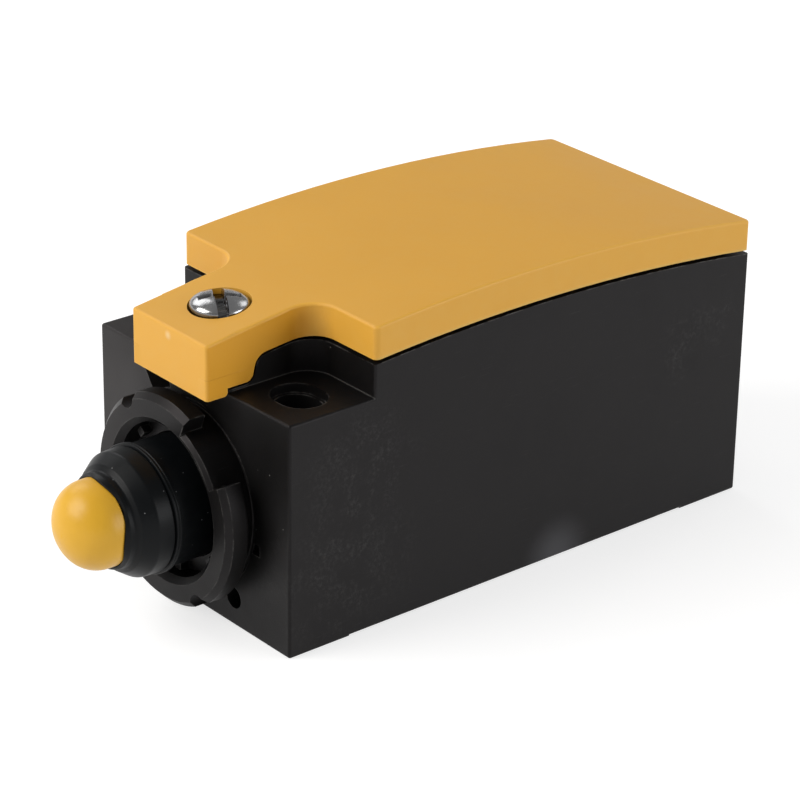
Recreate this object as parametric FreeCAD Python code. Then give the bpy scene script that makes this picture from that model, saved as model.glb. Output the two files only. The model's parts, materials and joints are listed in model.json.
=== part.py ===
import FreeCAD, Part
import math
import os

# A plunger position switch lying on its mounting face, in millimetres.
# Shapes are drawn with Y = 0 on the housing's front face and Y growing to the rear.
# X runs across, Z stands up from the mounting face. On export everything is moved so
# that the origin lies midway between the two fixing slots, on the mounting face.

Vector = FreeCAD.Vector

# Housing
WIDTH = 31.0
LENGTH = 61.0
HALF = WIDTH / 2
WALL = 2.2
FLOOR = 2.2
CORNER_ROUND = 0.3
STEP_Z = 25.15
STEP_Y = 10.4
POST_HALF = 5.8
POST_FILLET = 3.0
CAVITY_FRONT = 12.6
CAVITY_REAR = 58.6
CAVITY_HALF = HALF - WALL
FOOT_FRONT = 7.5
FOOT_REAR = 53.0
FOOT_RELIEF = 0.28
RIM_WIDTH = 0.6
RIM_PLAY = 0.2
FIT = 0.02
HOLE_PLAY = 0.15
SMALL_ROUND = 0.2

# Fixing slots in the stepped corners
SLOT_X = 10.5
SLOT_Y = 5.05
SLOT_LENGTH = 5.3
SLOT_R = 2.15
SLOT_MOUTH = 0.4
SLOT_MOUTH_DEPTH = 1.0

# Cable entry at the rear end, for an M20 x 1.5 gland
ENTRY_Z = 14.0
ENTRY_R = 9.19
ENTRY_BOSS_R = 11.6
ENTRY_DEPTH = 8.0
ENTRY_CHAMFER = 0.5

# Cover: two shallow arcs across the length, a tongue over the screw post and a lip at its end
ARC_Y = 30.5
COVER_CREST = 33.5
COVER_ARC_R = 206.0
SEAM_CREST = 29.9
SEAM_ARC_R = 235.0
SEAM_GAP = 0.4
COVER_FRONT = 10.5
COVER_TOP = 1.8
COVER_SIDE = 1.2
COVER_EDGE = 0.3
COVER_CORNER = 0.6
TONGUE_HALF = 6.1
TONGUE_FRONT = -2.7
TONGUE_FILLET = 3.0
TONGUE_CORNER = 0.35
LIP_BACK = -0.2
LIP_Z = 25.0
LIP_ROUND = 0.4
SKIRT_Z = 25.8
RISER_FOOT_Y = 2.75
RISER_HEAD_Y = 3.3
RISER_END_Y = 9.0
RISER_FOOT_ROUND = 0.9
RISER_HEAD_ROUND = 1.6
GASKET_WIDTH = 1.4
GASKET_THICK = 1.0
GASKET_PLAY = 0.2

# The cover tilts about its rear lower edge on two hooks
HINGE_Y = 60.7
HINGE_Z = 27.95
HOOK_X = 8.0
HOOK_HALF = 2.4
HOOK_IN = 2.6
HOOK_OUT = 3.7
HOOK_NOSE_Y = 60.0
HOOK_PLAY = 0.2

# Cover screw with a slot and a cross
SCREW_Y = 3.45
SCREW_HEAD_R = 3.0
SCREW_HEAD_H = 2.2
SCREW_SINK = 1.2
SCREW_RECESS_R = 3.2
SCREW_CORE_R = 1.2
SCREW_END_Z = 21.8
SCREW_POINT = 0.6
SCREW_DRIVE = (1.1, 2.2)
SCREW_TURN = 61.0
SCREW_HOLE_R = 1.7
SCREW_BOSS_R = 2.75
SCREW_BOSS_Z = 26.7
SCREW_BOSS_PLAY = 0.35
INSERT_R = 1.9
INSERT_BORE_R = 1.5
INSERT_BOTTOM_Z = 20.6
INSERT_GROOVE = 0.3
INSERT_GROOVE_WIDTH = 0.5
INSERT_GROOVE_SHARES = (0.3, 0.65)
RETAINER_R = 2.6
RETAINER_THICK = 0.5

# Plunger axis and the bayonet collar round it
AXIS_Z = 12.4
RING_R = 11.05
RING_FRONT = -3.95
RING_REAR = -1.45
RING_BORE_R = 8.65
RING_CHAMFER = 0.6
CAVITY_R = 8.0
CAVITY_FLOOR = -0.4
NECK_R = 9.3
FLANGE_R = 9.7
FLANGE_FRONT = 0.4
FLANGE_REAR = 1.0
FLANGE_SEAT_R = 10.0
SPIGOT_R = 7.6
SPIGOT_STEP = 2.0
STEM_SLEEVE_R = 6.0
SLEEVE_END = 11.4
BOOT_SEAT_R = 6.9
BOOT_SEAT_END = 1.2
LOBE_CUT_R = 9.3
LOBE_BEVEL = 0.4
LOBE_CUT_START = 28.0
LOBE_CUT_END = 68.0
NOTCH_ANGLE = 122.0
NOTCH_R = 1.3
NOTCH_END = -2.05

# O-ring between the collar and the housing
SEAL_R = 6.54
SEAL_WIRE_R = 0.53
SEAL_CHAMBER_R = 7.1
SEAL_CHAMBER_END = 3.1

# Marks on the front face
PIN_HOLE_X = 6.55
PIN_HOLE_Z = 3.1
PIN_HOLE_R = 1.15
PIN_HOLE_DEPTH = 2.5
KEY_POCKET_X = 9.2
KEY_POCKET_Z = 9.3
KEY_POCKET_WIDTH = 1.6
KEY_POCKET_HEIGHT = 1.2
KEY_POCKET_DEPTH = 0.8
LATCH_POCKET_R = (10.6, 13.2)
LATCH_POCKET_ANGLES = (110.0, 127.0)
LATCH_POCKET_DEPTH = 2.5

# Boot and the ribbed ring that holds it
BOOT_TIP = -11.05
BOOT_LIP_WIDTH = 0.95
BOOT_WALL = 0.8
BOOT_LIP_R = 4.95
BOOT_SHOULDER_R = 6.35
BOOT_SHOULDER_RUN = 2.1
BOOT_SHOULDER_ROUND = 1.4
BOOT_BEAD_R = 6.72
BOOT_BEAD_Y = -6.45
BOOT_BEAD_WIDTH = 0.75
BOOT_SLEEVE_R = 6.4
BOOT_FLANGE_R = 6.85
BOOT_BORE_R = 3.1
BOOT_PLAY = 0.1
KEEPER_FRONT = -1.3
KEEPER_PLAY = 0.05
KEEPER_IN_R = 6.5
KEEPER_RIBS = 8
KEEPER_RIB_ANGLE = 138.0
KEEPER_RIB_WIDTH = 0.9
KEEPER_RIB_IN_R = 7.1
KEEPER_RIB_FRONT = -2.3

# Plunger: domed cap, stem and bush
TRAVEL = 5.0
CAP_BASE = -11.1
CAP_R = 4.55
DOME_BASE = -12.0
DOME_TIP = -15.87
DOME_SHOULDER_R = 3.5
CAP_EDGE = 0.15
CAP_BORE_END = -13.4
STEM_R = 3.0
STEM_TENON_R = 2.0
STEM_END_PLAY = 0.1
BUSH_R = 4.55
BUSH_BORE_R = 3.05
BUSH_FRONT = 1.4

# Contact carrier and its two windows
CARRIER_HALF = 3.6
CARRIER_LOW = 8.0
CARRIER_HIGH = 16.8
CARRIER_FRONT = 14.7
CARRIER_REAR = 34.8
CARRIER_ROUND = 0.4
STEM_SOCKET_END = 17.6
STEM_PIN_Y = 16.1
STEM_PIN_R = 0.6
STEM_PIN_SHY = 0.2
WINDOW_HALF_HEIGHT = 2.0
LOST_MOTION = 2.0
LOST_MOTION_PLAY = 0.1
NC_WINDOW_REAR = 25.6
NO_WINDOW_FRONT = 27.2

# Contacts
BRIDGE_HALF = 6.9
BRIDGE_THICK = 0.6
BRIDGE_HALF_HEIGHT = 1.4
BRIDGE_ROUND = 0.6
BRIDGE_WAIST_R = 0.45
TIP_X = 5.75
TIP_R = 0.95
TIP_H = 0.5
TOUCH_GAP = 0.05
NC_LEG_Y = 19.0
NO_BRIDGE_Y = 32.0
LEG_THICK = 0.8
LEG_IN_X = 4.6
LEG_OUT_X = 7.2
LEG_LOW_Z = 10.2

# Contact block
BLOCK_HALF = 12.6
BLOCK_FRONT = 13.0
BLOCK_REAR = 46.2
BLOCK_BASE_Z = 5.0
SHELF_IN_X = 7.4
SHELF_FRONT = 17.0
SHELF_REAR = 39.4
SHELF_Z = 14.5
END_WALL_THICK = 1.5
END_WALL_Z = 18.2
RAIL_HALF = 2.0
RAIL_PLAY = 0.1
BARRIER_Y = 28.4
BARRIER_THICK = 1.2
BARRIER_Z = 20.0
LID_HALF = 6.7
LID_THICK = 1.4
LID_SKIRT = 1.0
LID_SKIRT_Z = 15.6

# Terminals: bent plate, wire clamp and screw
PLATE_THICK = 0.8
PLATE_REACH = 7.6
PLATE_OUT_X = 12.4
TERMINAL_SCREW_X = 9.8
TERMINAL_SCREW_SET = 4.0
TERMINAL_HEAD_R = 2.8
TERMINAL_HEAD_H = 2.1
TERMINAL_CORE_R = 1.75
TERMINAL_END_Z = 8.5
TERMINAL_DRIVE = (0.7, 1.8)
CLAMP_SIDE = 5.2
CLAMP_THICK = 0.9

# Screws that hold the block on four posts in the housing
FIX_X = 10.2
FIX_FRONT_Y = 15.0
FIX_REAR_Y = 42.4
FIX_POST_R = 2.0
FIX_POST_Z = 10.0
FIX_LUG_THICK = 2.2
FIX_HEAD_R = 1.9
FIX_HEAD_H = 1.5
FIX_CORE_R = 1.05
FIX_END_Z = 5.0
FIX_DRIVE = (0.5, 1.2)
SCREW_END_PLAY = 0.5

# Springs: mean radius, wire radius and turns
RETURN_SPRING = (2.9, 0.35, 6)
NC_SPRING = (1.35, 0.22, 5)
NO_SPRING = (1.35, 0.22, 6)
SPRING_SEAT_R = 2.2
SPRING_SEAT = 1.4

# Pan heads, as shares of their radius and height
HEAD_FLAT = 0.55
HEAD_CROWN = 0.5
HEAD_SHOULDER = (0.86, 0.84)
DRIVE_DEPTH = 0.5


def box(x0, x1, y0, y1, z0, z1):
    return Part.makeBox(x1 - x0, y1 - y0, z1 - z0, Vector(x0, y0, z0))


def rod_y(radius, y0, y1, x=0.0, z=AXIS_Z):
    return Part.makeCylinder(radius, y1 - y0, Vector(x, y0, z), Vector(0, 1, 0))


def rod_z(radius, z0, z1, x, y):
    return Part.makeCylinder(radius, z1 - z0, Vector(x, y, z0))


def mirrored(shape):
    return shape.mirror(Vector(0, 0, 0), Vector(1, 0, 0))


def fused(shapes):
    return shapes[0].multiFuse(shapes[1:]).removeSplitter()


def arc_cylinder(crest, radius):
    """Everything under a shallow arc along the length, its crest above ARC_Y."""
    centre = Vector(-WIDTH, ARC_Y, crest - radius)
    return Part.makeCylinder(radius, 2 * WIDTH, centre, Vector(1, 0, 0))


def arc_height(y, crest, radius):
    return crest - radius + math.sqrt(radius ** 2 - (y - ARC_Y) ** 2)


def rounded_wire(corners, to_space):
    """Closed outline through (u, v, radius) corners, each one rounded by its radius."""
    arcs = []
    for i, (u, v, radius) in enumerate(corners):
        here = Vector(u, v, 0)
        back = (Vector(*corners[i - 1][:2], 0) - here).normalize()
        ahead = (Vector(*corners[(i + 1) % len(corners)][:2], 0) - here).normalize()
        half = back.getAngle(ahead) / 2
        bisector = back + ahead
        if radius == 0 or bisector.Length < 1e-6:
            arcs.append((here, None, here))
            continue
        bisector.normalize()
        reach = radius / math.tan(half)
        middle = here + bisector * (radius / math.sin(half) - radius)
        arcs.append((here + back * reach, middle, here + ahead * reach))
    edges = []
    for i, (start, middle, end) in enumerate(arcs):
        leave = arcs[i - 1][2]
        if (start - leave).Length > 1e-6:
            edges.append(Part.LineSegment(to_space(leave), to_space(start)).toShape())
        if middle is not None:
            edges.append(Part.Arc(to_space(start), to_space(middle), to_space(end)).toShape())
    return Part.Wire(edges)


def extruded_x(corners, x0, x1):
    """Outline of (y, z, radius) corners, pushed along X."""
    wire = rounded_wire(corners, lambda p: Vector(x0, p.x, p.y))
    return Part.Face(wire).extrude(Vector(x1 - x0, 0, 0))


def extruded_z(corners, z0, z1):
    """Outline of (x, y, radius) corners, pushed along Z."""
    wire = rounded_wire(corners, lambda p: Vector(p.x, p.y, z0))
    return Part.Face(wire).extrude(Vector(0, 0, z1 - z0))


def turned(corners):
    """Outline of (y, r, radius) corners, turned about the plunger axis."""
    wire = rounded_wire(corners, lambda p: Vector(0, p.x, AXIS_Z + p.y))
    return Part.Face(wire).revolve(Vector(0, 0, AXIS_Z), Vector(0, 1, 0), 360)


def obround_z(length, radius, z0, z1, x, y):
    """Slot-shaped column with round ends, its long side along X."""
    half = length / 2
    return extruded_z([(x - half, y - radius, radius), (x + half, y - radius, radius),
                       (x + half, y + radius, radius), (x - half, y + radius, radius)], z0, z1)


def coil_y(spring, y0, y1):
    """Helical compression spring along the plunger axis between two planes."""
    mean_r, wire_r, turns = spring
    height = y1 - y0 - 2 * wire_r
    helix = Part.makeHelix(height / turns, height, mean_r)
    section = Part.Wire([Part.Circle(Vector(mean_r, 0, 0), Vector(0, 1, 0), wire_r).toShape()])
    coil = Part.Wire(helix.Edges).makePipeShell([section], True, True)
    coil.rotate(Vector(0, 0, 0), Vector(1, 0, 0), -90)
    coil.translate(Vector(0, y0 + wire_r, AXIS_Z))
    return coil


def driven_head(radius, height, place, drive):
    """Pan head standing at a place, with a domed top, a full slot and a shorter cross."""
    slot, cross = drive
    flat = Vector(radius, 0, height * HEAD_FLAT)
    crown = Vector(radius * HEAD_CROWN, 0, height)
    shoulder = Vector(radius * HEAD_SHOULDER[0], 0, height * HEAD_SHOULDER[1])
    straight = Part.makePolygon([crown, Vector(0, 0, height), Vector(0, 0, 0), Vector(radius, 0, 0), flat])
    outline = Part.Wire(straight.Edges + [Part.Arc(flat, shoulder, crown).toShape()])
    head = Part.Face(outline).revolve(Vector(0, 0, 0), Vector(0, 0, 1), 360)
    deep = height * (1 - DRIVE_DEPTH)
    head = head.cut(box(-slot / 2, slot / 2, -2 * radius, 2 * radius, deep, 2 * height))
    head = head.cut(box(-cross, cross, -slot / 2, slot / 2, deep, 2 * height))
    head.translate(place)
    return head


def plan(half, front, corner, tongue_half, tongue_front, fillet, tongue_corner):
    """Outline seen from above: a body with a narrow tongue, joined by concave fillets."""
    right = [(tongue_half, tongue_front, tongue_corner), (tongue_half, front, fillet),
             (half, front, corner), (half, LENGTH, corner)]
    left = [(-x, y, radius) for x, y, radius in reversed(right)]
    return right + left


def tongue_underside(gap):
    """Space under the cover's tongue, drawn a gap away from it, in the length and height plane."""
    end_z = arc_height(RISER_END_Y, SEAM_CREST, SEAM_ARC_R) - gap
    head_z = arc_height(RISER_HEAD_Y, SEAM_CREST, SEAM_ARC_R) - gap
    low = STEP_Z - LENGTH
    front = TONGUE_FRONT - 1
    return [(front, low, 0), (front, LIP_Z - gap, 0), (LIP_BACK + gap, LIP_Z - gap, LIP_ROUND),
            (LIP_BACK + gap, SKIRT_Z - gap, 0),
            (RISER_FOOT_Y + gap, SKIRT_Z - gap, RISER_FOOT_ROUND + gap),
            (RISER_HEAD_Y + gap, head_z, RISER_HEAD_ROUND - gap),
            (RISER_END_Y, end_z, 0), (RISER_END_Y, low, 0)]


def hook_band(inner, outer, half, y_limit):
    """Ring about the cover's hinge line, kept to the front of a plane, on both sides."""
    centre = Vector(HOOK_X - half, HINGE_Y, HINGE_Z)
    along = Vector(1, 0, 0)
    ring = Part.makeCylinder(outer, 2 * half, centre, along)
    ring = ring.cut(Part.makeCylinder(inner, 2 * half, centre, along))
    return ring.common(box(0, HALF, HINGE_Y - 2 * outer, y_limit, 0, 2 * HINGE_Z))


def fix_points():
    return [(x, y) for x in (-FIX_X, FIX_X) for y in (FIX_FRONT_Y, FIX_REAR_Y)]


def make_housing():
    lower = box(-HALF, HALF, 0, LENGTH, 0, STEP_Z)
    lower = lower.makeFillet(CORNER_ROUND, lower.Edges)
    outline = plan(HALF, STEP_Y, CORNER_ROUND, POST_HALF, 0, POST_FILLET, CORNER_ROUND)
    upper = extruded_z(outline, STEP_Z - 1, COVER_CREST)
    upper = upper.common(arc_cylinder(SEAM_CREST - SEAM_GAP, SEAM_ARC_R))
    tongue_room = box(-HALF, HALF, TONGUE_FRONT, RISER_END_Y, STEP_Z, COVER_CREST)
    tongue_room = tongue_room.cut(extruded_x(tongue_underside(SEAM_GAP), -WIDTH, WIDTH))
    rim_out = CAVITY_HALF + RIM_WIDTH
    rim = box(-rim_out, rim_out, CAVITY_FRONT - RIM_WIDTH, CAVITY_REAR + RIM_WIDTH, STEP_Z, COVER_CREST)
    rim = rim.common(cover_pan(GASKET_THICK + RIM_PLAY))
    body = fused([lower, upper.cut(tongue_room), rim])

    cavity = box(-CAVITY_HALF, CAVITY_HALF, CAVITY_FRONT, CAVITY_REAR, FLOOR, COVER_CREST)
    boss = rod_y(ENTRY_BOSS_R, LENGTH - ENTRY_DEPTH, LENGTH, z=ENTRY_Z).common(cavity)
    posts = [rod_z(FIX_POST_R, FLOOR, FIX_POST_Z, x, y) for x, y in fix_points()]
    body = fused([body.cut(cavity), boss] + posts)

    mouth = Part.makeCone(ENTRY_R, ENTRY_R + ENTRY_CHAMFER, ENTRY_CHAMFER,
                          Vector(0, LENGTH - ENTRY_CHAMFER, ENTRY_Z), Vector(0, 1, 0))
    cuts = [box(-WIDTH, WIDTH, FOOT_FRONT, FOOT_REAR, -1, FOOT_RELIEF),
            rod_y(ENTRY_R, LENGTH - ENTRY_DEPTH, LENGTH, z=ENTRY_Z), mouth,
            rod_y(FLANGE_SEAT_R, 0, FLANGE_REAR), rod_y(SPIGOT_R, 0, SPIGOT_STEP),
            rod_y(SEAL_CHAMBER_R, 0, SEAL_CHAMBER_END),
            rod_y(STEM_SLEEVE_R, 0, CAVITY_FRONT),
            rod_z(INSERT_R + FIT, INSERT_BOTTOM_Z - FIT, COVER_CREST, 0, SCREW_Y),
            rod_z(SCREW_BOSS_R + SCREW_BOSS_PLAY, SKIRT_Z - SEAM_GAP, COVER_CREST, 0, SCREW_Y),
            rod_y(PIN_HOLE_R, 0, PIN_HOLE_DEPTH, PIN_HOLE_X, PIN_HOLE_Z),
            box(KEY_POCKET_X, KEY_POCKET_X + KEY_POCKET_WIDTH, 0, KEY_POCKET_DEPTH,
                KEY_POCKET_Z, KEY_POCKET_Z + KEY_POCKET_HEIGHT)]
    inner, outer = (rod_y(radius, 0, LATCH_POCKET_DEPTH) for radius in LATCH_POCKET_R)
    cuts.append(outer.cut(inner).common(axis_sector(*LATCH_POCKET_ANGLES)))
    pocket = hook_band(HOOK_IN - HOOK_PLAY, HOOK_OUT + HOOK_PLAY, HOOK_HALF + HOOK_PLAY,
                       HOOK_NOSE_Y + HOOK_PLAY)
    cuts += [pocket, mirrored(pocket)]
    for x in (-SLOT_X, SLOT_X):
        cuts.append(obround_z(SLOT_LENGTH, SLOT_R, -1, STEP_Z + 1, x, SLOT_Y))
        cuts.append(obround_z(SLOT_LENGTH + 2 * SLOT_MOUTH, SLOT_R + SLOT_MOUTH, STEP_Z - SLOT_MOUTH_DEPTH,
                              STEP_Z + 1, x, SLOT_Y))
    cuts += [rod_z(FIX_CORE_R + FIT, FIX_END_Z - SCREW_END_PLAY, FIX_POST_Z, x, y) for x, y in fix_points()]
    for cut in cuts:
        body = body.cut(cut)
    return body


def cover_pan(drop):
    """Everything under the inside of the cover's top, less a drop."""
    return arc_cylinder(COVER_CREST - COVER_TOP - drop, COVER_ARC_R - COVER_TOP)


def make_cover():
    outline = plan(HALF, COVER_FRONT, COVER_CORNER, TONGUE_HALF, TONGUE_FRONT, TONGUE_FILLET, TONGUE_CORNER)
    body = extruded_z(outline, 0, 2 * COVER_CREST).common(arc_cylinder(COVER_CREST, COVER_ARC_R))
    body = body.cut(extruded_x(tongue_underside(0), -WIDTH, WIDTH))
    behind_tongue = box(-WIDTH, WIDTH, RISER_END_Y, 2 * LENGTH, 0, COVER_CREST)
    body = body.cut(arc_cylinder(SEAM_CREST, SEAM_ARC_R).common(behind_tongue))
    crown = COVER_CREST - COVER_TOP
    lowest_top = arc_height(TONGUE_FRONT, COVER_CREST, COVER_ARC_R) - COVER_EDGE / 2
    body = body.makeFillet(COVER_EDGE, [edge for edge in body.Edges if edge.BoundBox.ZMin > lowest_top])

    head_z = screw_seat_z()
    body = body.fuse(rod_z(SCREW_BOSS_R, SCREW_BOSS_Z, head_z, 0, SCREW_Y))
    inner = HALF - COVER_SIDE
    pan = box(-inner, inner, COVER_FRONT + COVER_SIDE, LENGTH - COVER_SIDE, 0, crown).common(cover_pan(0))
    cuts = [pan, rod_z(SCREW_HOLE_R, 0, COVER_CREST, 0, SCREW_Y),
            rod_z(SCREW_RECESS_R, head_z, COVER_CREST, 0, SCREW_Y),
            rod_z(SCREW_BOSS_R, 0, SCREW_BOSS_Z, 0, SCREW_Y)]
    for cut in cuts:
        body = body.cut(cut)

    hook = hook_band(HOOK_IN, HOOK_OUT, HOOK_HALF, HOOK_NOSE_Y)
    hook = hook.common(box(0, HALF, 0, LENGTH, 0, HINGE_Z))
    stalk = box(HOOK_X - HOOK_HALF, HOOK_X + HOOK_HALF, HINGE_Y - HOOK_OUT, HINGE_Y - HOOK_IN,
                HINGE_Z, crown)
    stalk = stalk.common(cover_pan(-COVER_TOP / 2))
    return fused([body, hook, stalk, mirrored(hook), mirrored(stalk)])


def make_cover_gasket():
    outer = HALF - COVER_SIDE - GASKET_PLAY
    inner = outer - GASKET_WIDTH
    front = COVER_FRONT + COVER_SIDE + GASKET_PLAY
    rear = LENGTH - COVER_SIDE - GASKET_PLAY
    ring = box(-outer, outer, front, rear, 0, COVER_CREST)
    ring = ring.cut(box(-inner, inner, front + GASKET_WIDTH, rear - GASKET_WIDTH, 0, COVER_CREST))
    return ring.common(cover_pan(FIT)).cut(cover_pan(GASKET_THICK))


def screw_seat_z():
    return arc_height(SCREW_Y, COVER_CREST, COVER_ARC_R) - SCREW_SINK


def make_cover_screw():
    seat = screw_seat_z()
    place = Vector(0, SCREW_Y, seat)
    head = driven_head(SCREW_HEAD_R, SCREW_HEAD_H, place, SCREW_DRIVE)
    head.rotate(place, Vector(0, 0, 1), SCREW_TURN)
    point = Part.makeCone(SCREW_CORE_R / 2, SCREW_CORE_R, SCREW_POINT, Vector(0, SCREW_Y, SCREW_END_Z))
    return fused([head, rod_z(SCREW_CORE_R, SCREW_END_Z + SCREW_POINT, seat, 0, SCREW_Y), point])


def make_screw_insert():
    top = SKIRT_Z - SEAM_GAP
    body = rod_z(INSERT_R, INSERT_BOTTOM_Z, top, 0, SCREW_Y)
    for share in INSERT_GROOVE_SHARES:
        low = INSERT_BOTTOM_Z + share * (top - INSERT_BOTTOM_Z)
        groove = rod_z(INSERT_R, low, low + INSERT_GROOVE_WIDTH, 0, SCREW_Y)
        body = body.cut(groove.cut(rod_z(INSERT_R - INSERT_GROOVE, low, top, 0, SCREW_Y)))
    return body.cut(rod_z(INSERT_BORE_R, 0, COVER_CREST, 0, SCREW_Y))


def make_screw_retainer():
    low = SCREW_BOSS_Z - 2 * FIT - RETAINER_THICK
    washer = rod_z(RETAINER_R, low, low + RETAINER_THICK, 0, SCREW_Y)
    return washer.cut(rod_z(SCREW_CORE_R + FIT, 0, COVER_CREST, 0, SCREW_Y))


def make_bayonet_collar():
    bevel_r = RING_R - RING_CHAMFER
    bore_bevel = RING_BORE_R - CAVITY_R
    sleeve_r = STEM_SLEEVE_R - FIT
    body = turned([
        (RING_FRONT, RING_BORE_R, 0), (RING_FRONT, bevel_r, 0), (RING_FRONT + RING_CHAMFER, RING_R, 0),
        (RING_REAR, RING_R, SMALL_ROUND), (RING_REAR, NECK_R, SMALL_ROUND),
        (FLANGE_FRONT, NECK_R, SMALL_ROUND), (FLANGE_FRONT, FLANGE_R, SMALL_ROUND),
        (FLANGE_REAR, FLANGE_R, 0), (FLANGE_REAR, SPIGOT_R - FIT, 0),
        (SPIGOT_STEP, SPIGOT_R - FIT, 0), (SPIGOT_STEP, sleeve_r, 0),
        (SLEEVE_END, sleeve_r, 0), (SLEEVE_END, BUSH_R + FIT, 0), (BOOT_SEAT_END, BUSH_R + FIT, 0),
        (BOOT_SEAT_END, BOOT_SEAT_R, 0), (CAVITY_FLOOR, BOOT_SEAT_R, 0), (CAVITY_FLOOR, CAVITY_R, 0),
        (RING_FRONT + bore_bevel, CAVITY_R, 0)])
    ahead = RING_FRONT - RING_CHAMFER
    outside = RING_R + RING_CHAMFER
    lobe_blank = turned([
        (ahead, LOBE_CUT_R - LOBE_BEVEL, 0), (ahead, outside, 0), (0, outside, 0),
        (0, LOBE_CUT_R, 0), (RING_FRONT + LOBE_BEVEL, LOBE_CUT_R, 0),
        (RING_FRONT, LOBE_CUT_R - LOBE_BEVEL, 0)])
    for turn in (0, 180):
        lobe = lobe_blank.common(axis_sector(LOBE_CUT_START + turn, LOBE_CUT_END + turn))
        angle = math.radians(NOTCH_ANGLE + turn)
        notch_x = RING_R * math.cos(angle)
        notch_z = AXIS_Z + RING_R * math.sin(angle)
        body = body.cut(lobe).cut(rod_y(NOTCH_R, ahead, NOTCH_END, notch_x, notch_z))
    return body


def axis_sector(start, end):
    """Wedge about the plunger axis between two angles, measured from +X towards +Z."""
    reach = 2 * RING_R
    points = [Vector(0, -WIDTH, AXIS_Z)]
    for angle in (start, (start + end) / 2, end):
        turn = math.radians(angle)
        points.append(Vector(reach * math.cos(turn), -WIDTH, AXIS_Z + reach * math.sin(turn)))
    return Part.Face(Part.makePolygon(points + points[:1])).extrude(Vector(0, 2 * WIDTH, 0))


def make_collar_seal():
    middle = (SPIGOT_STEP + SEAL_CHAMBER_END) / 2
    return Part.makeTorus(SEAL_R, SEAL_WIRE_R, Vector(0, middle, AXIS_Z), Vector(0, 1, 0))


def make_guide_bush():
    return rod_y(BUSH_R, BUSH_FRONT, SLEEVE_END).cut(rod_y(BUSH_BORE_R, BUSH_FRONT, SLEEVE_END))


def make_boot():
    bead_front = BOOT_BEAD_Y - BOOT_BEAD_WIDTH / 2
    bead_rear = BOOT_BEAD_Y + BOOT_BEAD_WIDTH / 2
    lip_rear = BOOT_TIP + BOOT_LIP_WIDTH
    lip_inside = lip_rear + BOOT_WALL
    half_wall = BOOT_WALL / 2
    inner = BOOT_SLEEVE_R - BOOT_WALL
    shoulder = BOOT_BEAD_Y - BOOT_SHOULDER_RUN
    low = BOOT_SEAT_END - BOOT_PLAY
    flange = CAVITY_FLOOR + BOOT_PLAY / 2
    outside = [
        (BOOT_TIP, BOOT_BORE_R, 0), (BOOT_TIP, BOOT_LIP_R, half_wall), (lip_rear, BOOT_LIP_R, half_wall),
        (shoulder, BOOT_SHOULDER_R, BOOT_SHOULDER_ROUND), (bead_front, BOOT_SHOULDER_R, 0),
        (bead_front, BOOT_BEAD_R, SMALL_ROUND), (bead_rear, BOOT_BEAD_R, SMALL_ROUND),
        (bead_rear, BOOT_SLEEVE_R, 0), (flange, BOOT_SLEEVE_R, 0), (flange, BOOT_FLANGE_R, SMALL_ROUND)]
    inside = [
        (low, BOOT_FLANGE_R, 0), (low, inner, 0),
        (shoulder + half_wall, inner, BOOT_SHOULDER_ROUND - half_wall),
        (lip_inside, BOOT_LIP_R - BOOT_WALL, SMALL_ROUND), (lip_inside, BOOT_BORE_R, 0)]
    return turned(outside + inside)


def make_boot_retaining_ring():
    outer = CAVITY_R - KEEPER_PLAY
    low = CAVITY_FLOOR - FIT
    half = KEEPER_RIB_WIDTH / 2
    body = rod_y(outer, KEEPER_FRONT, low)
    rib = box(KEEPER_RIB_IN_R, outer - KEEPER_PLAY, KEEPER_RIB_FRONT, low, AXIS_Z - half, AXIS_Z + half)
    ribs = []
    for i in range(KEEPER_RIBS):
        turned_rib = rib.copy()
        turn = KEEPER_RIB_ANGLE + i * 360 / KEEPER_RIBS
        turned_rib.rotate(Vector(0, 0, AXIS_Z), Vector(0, -1, 0), turn)
        ribs.append(turned_rib)
    return fused([body] + ribs).cut(rod_y(KEEPER_IN_R, KEEPER_RIB_FRONT, low))


def make_plunger_cap():
    """Dome of two tangent arcs, a flatter nose and a rounder shoulder, on a short cylinder."""
    sag = DOME_BASE - DOME_TIP
    inset = CAP_R - DOME_SHOULDER_R
    nose_r = (sag ** 2 + inset ** 2 - DOME_SHOULDER_R ** 2) / (2 * (sag - DOME_SHOULDER_R))
    lean = math.atan2(inset, nose_r - sag)

    def nose(angle):
        return Vector(0, DOME_TIP + nose_r * (1 - math.cos(angle)), AXIS_Z + nose_r * math.sin(angle))

    def shoulder(angle):
        return Vector(0, DOME_BASE - DOME_SHOULDER_R * math.cos(angle),
                      AXIS_Z + inset + DOME_SHOULDER_R * math.sin(angle))

    upright = math.pi / 2
    arcs = [Part.Arc(nose(0), nose(lean / 2), nose(lean)).toShape(),
            Part.Arc(shoulder(lean), shoulder((lean + upright) / 2), shoulder(upright)).toShape()]
    edge = [Vector(0, CAP_BASE - CAP_EDGE, AXIS_Z + CAP_R), Vector(0, CAP_BASE, AXIS_Z + CAP_R - CAP_EDGE)]
    straight = Part.makePolygon([shoulder(upright)] + edge + [Vector(0, CAP_BASE, AXIS_Z), nose(0)])
    body = Part.Face(Part.Wire(arcs + straight.Edges)).revolve(Vector(0, 0, AXIS_Z), Vector(0, 1, 0), 360)
    return body.cut(rod_y(STEM_R + FIT, CAP_BORE_END, 0))


def make_plunger_stem():
    front = CAP_BORE_END + STEM_END_PLAY
    neck = CARRIER_FRONT - FIT
    rear = STEM_SOCKET_END - STEM_END_PLAY
    body = turned([
        (front, 0, 0), (front, STEM_R, SMALL_ROUND), (neck, STEM_R, SMALL_ROUND),
        (neck, STEM_TENON_R, 0), (rear, STEM_TENON_R, SMALL_ROUND), (rear, 0, 0)])
    return body.cut(rod_z(STEM_PIN_R + FIT, CARRIER_LOW, CARRIER_HIGH, 0, STEM_PIN_Y))


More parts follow.
